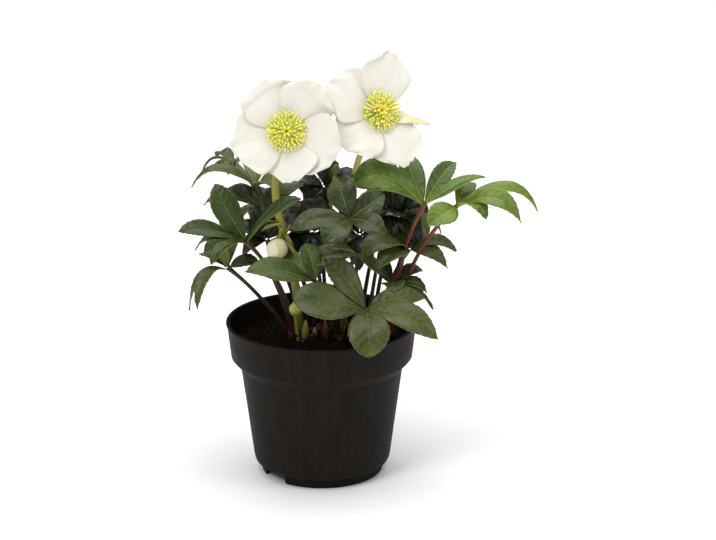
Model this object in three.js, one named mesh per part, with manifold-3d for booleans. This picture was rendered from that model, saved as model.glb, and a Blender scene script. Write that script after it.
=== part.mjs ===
// A Christmas rose (Helleborus niger) in flower, growing in a black plastic nursery pot.
//
// Millimetres, +Z up. Everything is laid out round the pot's axis, with the rim at z = 96 and the flowers
// facing -Y. The last section moves the whole plant, so that the origin is the middle of its footprint, on
// the surface that the pot stands on. A flower is built in a frame of its own, with +Z the way it faces.

import * as THREE from "three";
import { mergeVertices } from "three/addons/utils/BufferGeometryUtils.js";
import Module from "manifold-3d";

const wasm = await Module();
wasm.setup();

// ---------------------------------------------------------------- driving dimensions

const GAP = 0.3; // clear space between neighbouring pieces

const POT = {
  rimRadius: 60, // a 12 cm pot, measured over the rim
  rimHeight: 96, // above z = 0
  footLevel: -3.2, // where it stands, under z = 0
  wall: 1.2,
  bandHeight: 23.5, // the wider band under the rim
  bandStep: 5.4, // how far the band stands out over the body
  bodyTopRadius: 51.5,
  bodyFootRadius: 43.2,
  footRadius: 38.6,
  footHeight: 6.4,
  sides: 36,
  notchWidth: 20, // the gaps in the foot ring, which let the water out
  notchAngles: [-51.5, 128.5], // degrees from the front, to the right
  drainRadius: 3.5,
  drainCircle: 25,
  drainCount: 6,
};

const SOIL = { depthBelowRim: 9, mound: 4 };

const CROWN = { centre: [12, 3, 83], size: [33, 19, 8] }; // what everything grows from; size is half lengths

const STALK = { radius: 1.6, footHeight: 82 };

const LEAFLET = { thickness: 0.8, hubRadius: 2.2, baseWidth: 0.12, tipWidth: 0.05, along: 4, across: 2 };

const PETAL = {
  thickness: 0.7,
  start: 2.7, // how far from the flower's axis it begins
  baseWidth: 0.08, // its least width at either end, as a share of its width
  tipWidth: 0.22,
  slant: 0.15, // one side rises over the next petal
  along: 6,
  across: 4,
};

const CENTRE = {
  coreRadius: 2.2, // the stub that carries every ring of the flower
  coreHeight: 5.6,
  stamens: 14,
  stamenReach: 10,
  stamenRise: 9,
  nectaries: 8,
  carpels: 5,
};

const COLOUR = {
  pot: [0x232120, 0.55],
  soil: [0x1d130c, 0.95],
  crown: [0x2a1c12, 0.9],
  leaf: [0x33482a, 0.5],
  youngLeaf: [0x4f7a2c, 0.45],
  flowerStalk: [0x9aa04c, 0.55],
  petal: [0xf3f0e6, 0.6],
  nectary: [0xb9c62e, 0.5],
  stamen: [0xf0e487, 0.6],
  carpel: [0xe9c63a, 0.5],
  bud: [0xe3dfae, 0.55],
};

// Leaves, named by where they stand. foot is where the stalk leaves the crown (x, y), hub where the leaflets
// meet (x, y, z), face the way the upper side looks, and lean how far the stalk bends outwards before it
// rises. A leaflet is [tip x, tip y, tip z, width, arch of its midrib].
const LEAVES = {
  front: {
    foot: [18, -12], hub: [28, -40, 116], face: [0, -0.6, 0.8], lean: 0.45,
    leaflets: [
      [72, -52, 102, 18, 7], [64, -24, 120, 15, 7], [30, -66, 95, 24, 7],
      [-16, -58, 129, 23, 4], [2, -36, 148, 18, 3],
    ],
  },
  centre: {
    foot: [10, -6], hub: [18, -32, 172], face: [0, -0.75, 0.66], lean: 0.2,
    leaflets: [
      [11, -24, 197, 18, 4], [39, -26, 186, 14, 3], [39, -48, 167, 14, 4],
      [3, -56, 164, 17, 5], [-17, -44, 170, 13, 5],
    ],
  },
  right_high: {
    foot: [38, 7], hub: [64, 5, 170], face: [-0.1, -0.5, 0.85], lean: 0.15, young: true,
    leaflets: [
      [22, -12, 193, 22, 9], [60, 26, 194, 15, 4], [101, 8, 186, 15, 4],
    ],
  },
  right_far: {
    foot: [44, 0], hub: [84, -2, 171], face: [0.2, -0.4, 0.9], lean: 0.15, young: true,
    leaflets: [
      [135, 2, 168, 12, 15], [123, -20, 165, 12, 13], [74, -28, 163, 14, 3],
      [92, 28, 178, 12, 5],
    ],
  },
  right_mid: {
    foot: [34, -3], hub: [57, -8, 144], face: [0, -0.4, 0.9], lean: 0.25,
    leaflets: [
      [89, 4, 139, 11, 8], [82, -22, 140, 12, 6], [27, -34, 147, 18, 8],
      [49, -44, 136, 14, 5], [50, 18, 152, 14, 5],
    ],
  },
  right_low: {
    foot: [27, -6], hub: [44, -10, 122], face: [0, -0.3, 0.95], lean: 0.3,
    leaflets: [
      [62, 8, 127, 11, 4], [72, -10, 106, 8, 7], [44, -36, 128, 12, 3], [30, 10, 130, 12, 4],
    ],
  },
  left: {
    foot: [-17, -7], hub: [-46, -18, 148], face: [-0.2, -0.5, 0.85], lean: 0.2,
    leaflets: [
      [-88, -24, 157, 10, 5], [-66, -12, 184, 15, 2], [-14, -34, 184, 12, 6],
      [-69, -42, 140, 10, 7], [-84, -2, 140, 8, 9],
    ],
  },
  left_low: {
    foot: [-20, 3], hub: [-59, 2, 128], face: [-0.3, -0.3, 0.9], lean: 0.45,
    leaflets: [
      [-84, -10, 107, 8, 9], [-76, -22, 112, 8, 7], [-76, 16, 129, 14, 5],
      [-52, 26, 139, 16, 4], [-40, -12, 134, 12, 3],
    ],
  },
  left_inner: {
    foot: [-5, -10], hub: [-3, -30, 131], face: [0, -0.55, 0.83], lean: 0.5,
    leaflets: [[-46, -42, 143, 17, 4], [-10, -34, 158, 13, 2], [-28, -10, 146, 12, 4]],
  },
  left_high: {
    foot: [-14, 8], hub: [-41, 15, 180], face: [-0.1, -0.3, 0.95], lean: 0.2,
    leaflets: [
      [-82, 10, 180, 11, 9], [-70, 32, 188, 9, 5], [-44, 46, 186, 14, 5], [-26, -2, 184, 15, 4],
    ],
  },
  left_top: {
    foot: [-5, 18], hub: [-55, 37, 188], face: [-0.1, 0.1, 0.99], lean: 0.2,
    leaflets: [[-77, 33, 186, 9, 4], [-68, 54, 191, 10, 4], [-36, 58, 192, 12, 5], [-55, 16, 192, 9, 4]],
  },
  left_back: {
    foot: [-9, 13], hub: [-38, 24, 162], face: [0, -0.3, 0.95], lean: 0.25,
    leaflets: [
      [-60, 34, 172, 14, 4], [-66, 8, 172, 12, 7], [-11, 30, 176, 15, 5],
      [-36, 52, 168, 15, 6],
    ],
  },
  centre_low: {
    foot: [5, -14], hub: [22, -22, 146], face: [0, -0.5, 0.85], lean: 0.35,
    leaflets: [[8, -44, 158, 11, 2], [-11, -22, 140, 15, 5], [40, -10, 130, 14, 2]],
  },
  back_mid_left: {
    foot: [3, 9], hub: [-2, 26, 160], face: [0, -0.3, 0.95], lean: 0.3,
    leaflets: [[-18, 6, 162, 16, 6], [-12, 40, 180, 15, 4], [18, 34, 176, 15, 5], [8, 0, 152, 15, 6]],
  },
  back_mid_right: {
    foot: [24, 9], hub: [40, 24, 160], face: [0.1, -0.3, 0.95], lean: 0.3,
    leaflets: [[60, 34, 170, 14, 5], [63, 6, 158, 13, 6], [32, 38, 182, 14, 3], [28, 4, 160, 14, 5]],
  },
  rear_left: {
    foot: [4, 22], hub: [-24, 58, 148], face: [-0.1, 0.4, 0.9], lean: 0.4,
    leaflets: [
      [-60, 64, 140, 17, 9], [-44, 88, 132, 17, 8], [-12, 92, 136, 18, 9],
      [6, 64, 152, 15, 6],
    ],
  },
  rear_right: {
    foot: [29, 19], hub: [42, 56, 146], face: [0.2, 0.4, 0.9], lean: 0.4,
    leaflets: [[78, 52, 142, 17, 9], [70, 82, 130, 18, 8], [38, 92, 134, 18, 9], [16, 70, 150, 15, 6]],
  },
};

// Flowers. turn and rise are the way the flower faces, in degrees from the front to the right and above the
// horizon. A petal is [direction round the flower, length, width, slope at its foot, slope at its tip], in
// degrees and mm; 0 points to the right and 90 up. stem lists the points that the stem follows from the soil
// up.
const FLOWERS = {
  flower_left: {
    centre: [-21, -22, 224], turn: 6, rise: 14, stemRadius: 2.4,
    petals: [
      [47, 30, 32, 24, -4], [122, 30, 32, 22, -2], [196, 31, 33, 26, 6],
      [270, 28, 32, 24, 10], [336, 31, 34, 26, 8],
    ],
    stem: [
      [-12, -1, 80], [-14, -4, 99], [-16, -8, 119], [-18, -11, 138],
      [-22, -12, 153], [-26, -11, 168], [-28, -8, 188],
    ],
  },
  flower_right: {
    centre: [37, 2, 231], turn: 20, rise: 22, stemRadius: 2.1,
    petals: [
      [80, 35, 32, 24, 4], [152, 32, 31, 22, 2], [218, 29, 31, 24, 8],
      [293, 33, 33, 24, 6], [352, 29, 28, 20, -30],
    ],
    stem: [[12, 3, 80], [11, 7, 104], [12, 11, 130], [16, 13, 160], [21, 15, 188], [26, 15, 205]],
  },
};

// Buds: centre, radius, length, the way the tip points, and the points of the stalk that carries it. The tiny
// one is still one piece with its stalk.
const BUDS = {
  bud_large: {
    centre: [-27, -22, 149], radius: 6.2, length: 13, points: [-0.3, -0.5, -0.6],
    stalk: [[-24, -15.2, 160], [-24.5, -17, 160], [-25, -18.5, 158.5]], stalkRadius: 1.2,
  },
  bud_small: {
    centre: [-16, -20, 110], radius: 4, length: 10, points: [0.1, -0.3, 1],
    stalk: [[-14, -14, 82], [-15, -16, 94], [-15.8, -18.2, 104.4]], stalkRadius: 1.3,
  },
  bud_tiny: {
    centre: [9, 8, 192], radius: 3, length: 8, points: [0.2, 0, 1],
    stalk: [[16, 8, 82], [12, 14, 120], [6, 13, 160], [8.7, 8.5, 190]], stalkRadius: 1.0, whole: true,
  },
};

// ---------------------------------------------------------------- solids

const vector = (a) => new THREE.Vector3(...a);
const radians = THREE.MathUtils.degToRad;
const mix = THREE.MathUtils.lerp;

// A closed three.js geometry as a solid that can be cut and joined, facing outwards.
function solidOf(geometry, merging = 1e-4) {
  const loose = geometry.index ? geometry.toNonIndexed() : geometry;
  const bare = new THREE.BufferGeometry().setAttribute("position", loose.getAttribute("position"));
  const merged = mergeVertices(bare, merging);
  const index = merged.index.array;
  const triangles = [];
  for (let i = 0; i < index.length; i += 3) {
    const [a, b, c] = index.slice(i, i + 3);
    if (a !== b && b !== c && c !== a) triangles.push([a, b, c]);
  }
  const make = (faces) =>
    new wasm.Manifold(
      new wasm.Mesh({
        numProp: 3,
        vertProperties: merged.attributes.position.array,
        triVerts: new Uint32Array(faces.flat()),
      }),
    );
  const made = make(triangles);
  return made.volume() < 0 ? make(triangles.map(([a, b, c]) => [a, c, b])) : made;
}

function geometryOf(solid) {
  const mesh = solid.getMesh();
  return new THREE.BufferGeometry()
    .setAttribute("position", new THREE.BufferAttribute(new Float32Array(mesh.vertProperties), 3))
    .setIndex(new THREE.BufferAttribute(new Uint32Array(mesh.triVerts), 1));
}

// A solid without the very short edges that cuts leave behind.
const welded = (solid) => solidOf(geometryOf(solid.simplify(GAP / 2.5)), GAP / 8);

const joined = (solids) => solids.reduce((whole, piece) => whole.add(piece));

// The largest body of a solid that a cut may have split.
function largest(solid) {
  const bodies = solid.decompose();
  return bodies.reduce((best, body) => (body.volume() > best.volume() ? body : best));
}

// A round bar of one radius along a smooth curve through the points.
function bar(points, radius, steps, sides = 6) {
  const section = new THREE.Shape();
  for (let i = 0; i < sides; i++) {
    const angle = (2 * Math.PI * i) / sides;
    section[i ? "lineTo" : "moveTo"](radius * Math.cos(angle), radius * Math.sin(angle));
  }
  const path = new THREE.CatmullRomCurve3(points);
  return solidOf(new THREE.ExtrudeGeometry(section, { steps, extrudePath: path, bevelEnabled: false }));
}

// A profile of [radius, height] points turned round the Z axis.
function turned(profile, sides) {
  const points = profile.map(([r, z]) => new THREE.Vector2(r, z));
  return new THREE.LatheGeometry(points, sides).rotateX(Math.PI / 2);
}

// A flat box whose points are moved: place(across, along, through) takes -1..1, 0..1 and -1..1.
function sheetSolid(across, along, place) {
  const geometry = new THREE.BoxGeometry(2, 1, 2, across, along, 1);
  const position = geometry.attributes.position;
  for (let i = 0; i < position.count; i++) {
    const p = place(position.getX(i), position.getY(i) + 0.5, position.getZ(i));
    position.setXYZ(i, p.x, p.y, p.z);
  }
  return solidOf(geometry);
}

// ---------------------------------------------------------------- pieces and their neighbours

const plant = new THREE.Group();
const placed = []; // every piece so far, grown by the gap, so that a later piece can be kept clear of it

const boxesMeet = (a, b) => [0, 1, 2].every((k) => a.min[k] < b.max[k] && b.min[k] < a.max[k]);

function clearOf(solid, neighbours) {
  const box = solid.boundingBox();
  const near = neighbours.filter((n) => boxesMeet(box, n.boundingBox()));
  return near.length ? largest(near.reduce((left, n) => left.subtract(n), solid)) : solid;
}

// Adds a piece as a mesh whose own origin is its anchor, cut clear of the pieces that are already there.
function addPiece(name, solid, [color, roughness], anchor, grown = null) {
  const free = welded(clearOf(solid, placed));
  const geometry = geometryOf(free).translate(-anchor.x, -anchor.y, -anchor.z);
  const mesh = new THREE.Mesh(geometry, new THREE.MeshStandardMaterial({ color, roughness, metalness: 0 }));
  mesh.name = name;
  mesh.position.copy(anchor);
  plant.add(mesh);
  placed.push(grown ?? free);
}

// ---------------------------------------------------------------- pot

const bandFoot = POT.rimHeight - POT.bandHeight;
const bodyFoot = POT.footLevel + POT.footHeight;
const innerWall = [
  [POT.bodyFootRadius - 2.4, bodyFoot + 1.4],
  [POT.bodyFootRadius - 0.8, bodyFoot + 5.4],
  [POT.bodyTopRadius - POT.wall, bandFoot - 5],
  [POT.bodyTopRadius + POT.bandStep - POT.wall - 0.6, bandFoot + 1.2],
  [POT.rimRadius - POT.wall - 0.6, POT.rimHeight - 1.4],
];

function potSolid() {
  const foot = POT.footRadius;
  const profile = [
    [0, bodyFoot - 0.4],
    [foot - POT.wall, bodyFoot - 0.4],
    [foot - POT.wall, POT.footLevel],
    [foot, POT.footLevel],
    [foot + 0.4, bodyFoot],
    [POT.bodyFootRadius - 1.2, bodyFoot + 0.4],
    [POT.bodyFootRadius, bodyFoot + 2.2],
    [POT.bodyFootRadius + 0.5, bodyFoot + 5],
    [POT.bodyTopRadius, bandFoot - 6],
    [POT.bodyTopRadius + POT.bandStep - 0.8, bandFoot - 0.8],
    [POT.bodyTopRadius + POT.bandStep, bandFoot + 1],
    [POT.rimRadius - 0.5, POT.rimHeight - 1.6],
    [POT.rimRadius, POT.rimHeight - 1.1],
    [POT.rimRadius, POT.rimHeight],
    [POT.rimRadius - POT.wall - 0.4, POT.rimHeight],
    ...innerWall.toReversed(),
    [0, bodyFoot + 1.4],
  ];
  let pot = solidOf(turned(profile, POT.sides));
  for (const degrees of POT.notchAngles) {
    const notch = new THREE.BoxGeometry(POT.notchWidth, 12, POT.footHeight * 2);
    notch.translate(0, -POT.footRadius, POT.footLevel - 0.8).rotateZ(radians(degrees));
    pot = pot.subtract(solidOf(notch));
  }
  for (let i = 0; i < POT.drainCount; i++) {
    const hole = new THREE.CylinderGeometry(POT.drainRadius, POT.drainRadius, 8, 16).rotateX(Math.PI / 2);
    hole.translate(POT.drainCircle, 0, bodyFoot).rotateZ((2 * Math.PI * (i + 0.5)) / POT.drainCount);
    pot = pot.subtract(solidOf(hole));
  }
  return pot;
}

addPiece("pot", potSolid(), COLOUR.pot, vector([0, 0, POT.footLevel]));

// ---------------------------------------------------------------- crown

function crownSolid(grow = 0) {
  const [a, b, c] = CROWN.size;
  const knobs = [
    [0, 0, 0, 1],
    [-0.62, 0.1, 1.5, 0.5],
    [0.6, -0.05, 1.2, 0.48],
    [0.1, 0.55, 0.6, 0.55],
    [-0.05, -0.5, 0.8, 0.5],
  ];
  return joined(
    knobs.map(([x, y, z, share]) => {
      const knob = new THREE.SphereGeometry(1, 9, 6);
      knob.scale(a * share + grow, b * share + grow, c * Math.sqrt(share) + grow);
      return solidOf(knob.translate(CROWN.centre[0] + a * x, CROWN.centre[1] + b * y, CROWN.centre[2] + z));
    }),
  );
}

const grownCrown = crownSolid(GAP);
addPiece("crown", crownSolid(), COLOUR.crown, vector(CROWN.centre), grownCrown);

// ---------------------------------------------------------------- stalks and stems

const buried = [grownCrown]; // what the soil is packed round

function addStem(name, points, radius, colour) {
  const grown = bar(points, radius + GAP, 8);
  addPiece(name, bar(points, radius, 8), colour, points[0], grown);
  buried.push(grown);
}

function stalkPoints(leaf) {
  const foot = new THREE.Vector3(...leaf.foot, STALK.footHeight);
  const hub = vector(leaf.hub);
  const rise = hub.clone().sub(foot);
  const elbow = foot.clone().add(new THREE.Vector3(rise.x * leaf.lean, rise.y * leaf.lean, rise.z * 0.62));
  const curve = new THREE.QuadraticBezierCurve3(foot, elbow, hub);
  return Array.from({ length: 7 }, (_, i) => curve.getPoint(i / 6));
}

// ---------------------------------------------------------------- flowers

// The matrix that carries a flower's own frame to where the flower is.
function flowerFrame(flower) {
  const turn = radians(flower.turn);
  const rise = radians(flower.rise);
  const facing = new THREE.Vector3(Math.sin(turn), -Math.cos(turn), Math.tan(rise)).normalize();
  const right = new THREE.Vector3(Math.cos(turn), Math.sin(turn), 0);
  const up = facing.clone().cross(right);
  return new THREE.Matrix4().makeBasis(right, up, facing).setPosition(vector(flower.centre));
}

// A petal bends from its foot slope to its tip slope, its sides turn up, and one side lies over the next.
function petalSolid([direction, length, width, footSlope, tipSlope], frame, grow = 0) {
  const line = [new THREE.Vector2(PETAL.start, 0.8)];
  for (let i = 0; i < PETAL.along; i++) {
    const slope = radians(mix(footSlope, tipSlope, (i + 0.5) / PETAL.along));
    const step = new THREE.Vector2(Math.cos(slope), Math.sin(slope)).multiplyScalar(length / PETAL.along);
    line.push(line[i].clone().add(step));
  }
  const widest = 0.72 ** 0.9 * 0.28 ** 0.35;
  const toPlace = new THREE.Matrix4().makeRotationZ(radians(direction)).premultiply(frame);
  return sheetSolid(PETAL.across, PETAL.along, (across, along, through) => {
    const outline = (along ** 0.9 * (1 - along) ** 0.35) / widest;
    const least = mix(PETAL.baseWidth, PETAL.tipWidth, along);
    const side = across * ((width / 2) * Math.max(outline, least) + grow);
    const at = line[Math.round(along * PETAL.along)];
    const lift = 0.006 * side ** 2 + PETAL.slant * side + through * (PETAL.thickness / 2 + grow);
    return new THREE.Vector3(at.x, side, at.y + lift).applyMatrix4(toPlace);
  });
}

const inFlower = (geometry, frame) => solidOf(geometry.applyMatrix4(frame));

function stub(frame, grow = 0) {
  const profile = [
    [0, -5 - grow], [2.6 + grow, -4.6 - grow], [4.4 + grow, -1.4], [4.4 + grow, 0],
    [CENTRE.coreRadius + grow, 0.1], [CENTRE.coreRadius + grow, CENTRE.coreHeight + grow],
    [0, CENTRE.coreHeight + grow],
  ];
  return inFlower(turned(profile, 14), frame);
}

// A flat ring round the core, for what stands in a circle to grow from.
function footRing(frame, low, high, outer) {
  const inner = CENTRE.coreRadius + GAP;
  const section = [[inner, low], [outer, low], [outer, high], [inner, high], [inner, low]];
  return inFlower(turned(section, 14), frame);
}

// The same small shape count times round the flower: make(i) gives one that points along +X.
function whorl(count, frame, make) {
  return Array.from({ length: count }, (_, i) =>
    make(i).map((g) => inFlower(g.rotateZ((2 * Math.PI * i) / count), frame)),
  ).flat();
}

// A straight bar from a to b in the XZ plane.
function strut([ax, az], [bx, bz], footRadius, tipRadius, sides) {
  const length = Math.hypot(bx - ax, bz - az);
  const g = new THREE.CylinderGeometry(tipRadius, footRadius, length, sides).rotateX(Math.PI / 2);
  return g.rotateY(Math.atan2(bx - ax, bz - az)).translate((ax + bx) / 2, 0, (az + bz) / 2);
}

// The stub behind and inside the flower, with the ring of small green cups that hold the nectar.
function receptacle(frame, grow = 0) {
  const cups = whorl(CENTRE.nectaries, frame, () => [strut([1.4, 2.9], [6.2, 4.4], 0.7 + grow, 1 + grow, 5)]);
  return joined([stub(frame, grow), ...cups]);
}

function stamens(frame) {
  const filaments = whorl(CENTRE.stamens, frame, (i) => {
    const reach = CENTRE.stamenReach - (i % 3) * 1.7;
    const rise = CENTRE.stamenRise + (i % 3) * 1.1;
    const anther = new THREE.OctahedronGeometry(1).scale(0.8, 0.8, 1.1).translate(reach, 0, rise);
    return [strut([3.2, 5.3], [reach, rise], 0.4, 0.4, 3), anther];
  });
  return joined([footRing(frame, 4.9, 5.5, 4), ...filaments]);
}

function carpels(frame) {
  const low = CENTRE.coreHeight + GAP;
  const base = inFlower(turned([[0, low], [2, low], [2, low + 0.8], [0, low + 0.8]], 10), frame);
  const cones = whorl(CENTRE.carpels, frame, () => [strut([1.0, low + 0.4], [2.2, low + 6.5], 0.9, 0.35, 6)]);
  return joined([base, ...cones]);
}

for (const [name, flower] of Object.entries(FLOWERS)) {
  const frame = flowerFrame(flower);
  const centre = vector(flower.centre);
  const back = new THREE.Vector3(0, 0, -5 - GAP).applyMatrix4(frame);
  const behind = new THREE.Vector3(0, -3, -11).applyMatrix4(frame);
  addStem(`${name}_stem`, [...flower.stem.map(vector), behind, back], flower.stemRadius, COLOUR.flowerStalk);
  addPiece(`${name}_receptacle`, receptacle(frame), COLOUR.nectary, centre, receptacle(frame, GAP));
  addPiece(`${name}_stamens`, stamens(frame), COLOUR.stamen, centre);
  addPiece(`${name}_carpels`, carpels(frame), COLOUR.carpel, centre);
  flower.petals.forEach((petal, i) => {
    const grown = petalSolid(petal, frame, GAP);
    addPiece(`${name}_petal_${i + 1}`, petalSolid(petal, frame), COLOUR.petal, centre, grown);
  });
}

// ---------------------------------------------------------------- buds

function budSolid(bud, grow = 0) {
  const steps = 7;
  const profile = Array.from({ length: steps + 1 }, (_, i) => {
    const t = i / steps;
    const r = Math.sin(Math.PI * t ** 0.85) ** 0.8 * (bud.radius + grow);
    return [i === 0 || i === steps ? 0 : r, (t - 0.5) * (bud.length + 2 * grow)];
  });
  const up = new THREE.Vector3(0, 0, 1);
  const turn = new THREE.Quaternion().setFromUnitVectors(up, vector(bud.points).normalize());
  return solidOf(turned(profile, 12).applyQuaternion(turn).translate(...bud.centre));
}

for (const [name, bud] of Object.entries(BUDS)) {
  const points = bud.stalk.map(vector);
  if (bud.whole) {
    const grownStalk = bar(points, bud.stalkRadius + GAP, 8);
    const whole = budSolid(bud).add(bar(points, bud.stalkRadius, 8));
    addPiece(name, whole, COLOUR.bud, vector(bud.centre), budSolid(bud, GAP).add(grownStalk));
    buried.push(grownStalk);
  } else {
    addPiece(name, budSolid(bud), COLOUR.bud, vector(bud.centre), budSolid(bud, GAP));
    addStem(`${name}_stalk`, points, bud.stalkRadius, COLOUR.flowerStalk);
  }
}

// ---------------------------------------------------------------- leaf blades

// A leaflet is narrow at its foot, widest past the middle and pointed, with its sides a little raised.
function leafletSolid(leaf, [x, y, z, width, arch], grow = 0) {
  const hub = vector(leaf.hub);
  const tip = new THREE.Vector3(x, y, z);
  const face = vector(leaf.face).normalize();
  const middle = hub.clone().lerp(tip, 0.5).addScaledVector(face, arch * 2);
  const start = tip.clone().sub(hub).setLength(LEAFLET.hubRadius / 2).add(hub);
  const midrib = new THREE.QuadraticBezierCurve3(start, middle, tip);
  const widest = 0.6 ** 0.9 * 0.4 ** 0.6;
  return sheetSolid(LEAFLET.across, LEAFLET.along, (across, along, through) => {
    const outline = (along ** 0.9 * (1 - along) ** 0.6) / widest;
    const least = mix(LEAFLET.baseWidth, LEAFLET.tipWidth, along);
    const half = (width / 2) * Math.max(outline, least) + grow;
    const tangent = midrib.getTangent(along);
    const side = tangent.clone().cross(face).normalize();
    const up = side.clone().cross(tangent);
    const lift = 0.18 * Math.abs(across) * half + through * (LEAFLET.thickness / 2 + grow);
    return midrib.getPoint(along).addScaledVector(side, across * half).addScaledVector(up, lift);
  });
}

function bladeSolid(leaf, grow = 0) {
  const knob = new THREE.OctahedronGeometry(LEAFLET.hubRadius + grow, 1).translate(...leaf.hub);
  return joined([solidOf(knob), ...leaf.leaflets.map((leaflet) => leafletSolid(leaf, leaflet, grow))]);
}

// Every stalk is settled before the first blade, so that a blade gives way to a stalk and not the other way.
const stalks = [];
for (const leaf of Object.values(LEAVES)) {
  const points = stalkPoints(leaf);
  const earlier = [...placed, ...stalks.map((stalk) => stalk.grown)];
  const grown = bar(points, STALK.radius + GAP, 8);
  stalks.push({ solid: clearOf(bar(points, STALK.radius, 8), earlier), grown });
}

Object.entries(LEAVES).forEach(([name, leaf], i) => {
  const others = stalks.filter((_, k) => k !== i).map((stalk) => stalk.grown);
  const blade = clearOf(bladeSolid(leaf), [...placed, ...others]);
  const grown = bladeSolid(leaf, GAP).add(stalks[i].grown);
  const whole = largest(blade.add(stalks[i].solid));
  addPiece(`leaf_${name}`, whole, leaf.young ? COLOUR.youngLeaf : COLOUR.leaf, vector(leaf.hub), grown);
  buried.push(stalks[i].grown);
});

// ---------------------------------------------------------------- soil

function soilSolid() {
  const inside = innerWall.map(([r, z]) => [r - GAP * 1.5, z]);
  const edge = inside.pop();
  const before = inside[inside.length - 1];
  const top = POT.rimHeight - SOIL.depthBelowRim;
  const reach = mix(before[0], edge[0], (top - before[1]) / (edge[1] - before[1]));
  inside[0][1] += GAP;
  const profile = [
    [0, inside[0][1]], ...inside, [reach, top], [reach * 0.6, top + SOIL.mound * 0.7], [0, top + SOIL.mound],
  ];
  return buried.reduce((soil, piece) => soil.subtract(piece), solidOf(turned(profile, POT.sides)));
}

addPiece("soil", soilSolid(), COLOUR.soil, new THREE.Vector3(0, 0, bodyFoot));

// ---------------------------------------------------------------- the whole plant

const reach = new THREE.Box3().setFromObject(plant);
const footprint = reach.getCenter(new THREE.Vector3());
plant.position.set(-footprint.x, -footprint.y, -POT.footLevel);

export default plant;
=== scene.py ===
"""A Christmas rose in flower, growing in a black nursery pot. Metres, laid out round the pot's axis."""

import math
import random

import bpy
from mathutils import Matrix, Quaternion, Vector, noise


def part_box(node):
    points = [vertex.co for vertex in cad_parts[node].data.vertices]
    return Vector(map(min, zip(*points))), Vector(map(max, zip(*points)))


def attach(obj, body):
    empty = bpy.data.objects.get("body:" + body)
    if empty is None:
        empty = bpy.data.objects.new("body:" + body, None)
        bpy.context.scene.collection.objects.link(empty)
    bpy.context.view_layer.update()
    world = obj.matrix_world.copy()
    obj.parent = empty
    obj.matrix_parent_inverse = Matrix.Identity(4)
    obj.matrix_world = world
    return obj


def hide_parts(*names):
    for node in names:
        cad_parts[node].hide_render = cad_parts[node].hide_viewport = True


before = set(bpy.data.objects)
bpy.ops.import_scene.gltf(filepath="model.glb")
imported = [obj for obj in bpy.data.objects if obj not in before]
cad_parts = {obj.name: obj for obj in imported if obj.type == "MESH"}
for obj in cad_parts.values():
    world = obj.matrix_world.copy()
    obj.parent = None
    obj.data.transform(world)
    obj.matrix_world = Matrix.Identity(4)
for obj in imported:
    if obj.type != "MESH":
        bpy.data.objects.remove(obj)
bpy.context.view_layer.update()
bpy.ops.object.select_all(action="DESELECT")

# ---------------------------------------------------------------- camera
# The plant stands on a table a little below eye level, seen from its front with a long lens. Lengths from
# here on are in millimetres from the pot's axis, with the pot's rim at a height of 96.
pot_low, pot_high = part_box("pot")
MM = 0.001
RIM = 96
AXIS = Vector(((pot_low.x + pot_high.x) / 2, (pot_low.y + pot_high.y) / 2, pot_high.z - RIM * MM))


def at(x, y, z):
    """The place x, y, z, given in mm round the pot's axis, in metres."""
    return AXIS + Vector((x, y, z)) * MM


EYE_HEIGHT = math.radians(17.4)
EYE_DISTANCE = 1.4
looked_at = at(23, 0, 129)
towards_eye = Vector((0, -math.cos(EYE_HEIGHT), math.sin(EYE_HEIGHT)))
bpy.ops.object.camera_add(
    location=looked_at + towards_eye * EYE_DISTANCE,
    rotation=(math.pi / 2 - EYE_HEIGHT, 0, 0),
)
camera = bpy.context.object
camera.data.lens = 112
camera.data.clip_end = 30
bpy.context.scene.camera = camera
bpy.context.scene.view_settings.view_transform = "Standard"

# ---------------------------------------------------------------- materials, and the studio's floor
# A white sweep under the pot, lit by three large soft boxes and a pale room.


def tone(red, green, blue):
    """A colour as it looks on a screen, 0 to 255, as the linear colour that a shader takes."""
    channels = [c / 255 for c in (red, green, blue)]
    return (*[c / 12.92 if c <= 0.04045 else ((c + 0.055) / 1.055) ** 2.4 for c in channels], 1)


class Field:
    """A number or colour that changes over a surface. Arithmetic on it adds Math nodes."""

    def __init__(self, finish, socket):
        self.finish = finish
        self.socket = socket

    def math(self, operation, first, second=0.0, clamped=False):
        settings = {"operation": operation, "use_clamp": clamped}
        return self.finish.node("ShaderNodeMath", settings, {0: first, 1: second})

    def __add__(self, other):
        return self.math("ADD", self, other)

    def __radd__(self, other):
        return self.math("ADD", other, self)

    def __sub__(self, other):
        return self.math("SUBTRACT", self, other)

    def __rsub__(self, other):
        return self.math("SUBTRACT", other, self)

    def __mul__(self, other):
        return self.math("MULTIPLY", self, other)

    def __rmul__(self, other):
        return self.math("MULTIPLY", other, self)

    def __truediv__(self, other):
        return self.math("DIVIDE", self, other)

    def __pow__(self, other):
        return self.math("POWER", self, other)

    def __abs__(self):
        return self.math("ABSOLUTE", self)

    def clamp(self):
        return self.math("ADD", self, 0.0, clamped=True)

    def off_line(self):
        """How far a repeating pattern is from its nearest whole number, 0 to 0.5."""
        return abs(self.math("FRACT", self + 0.5) - 0.5)


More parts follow.
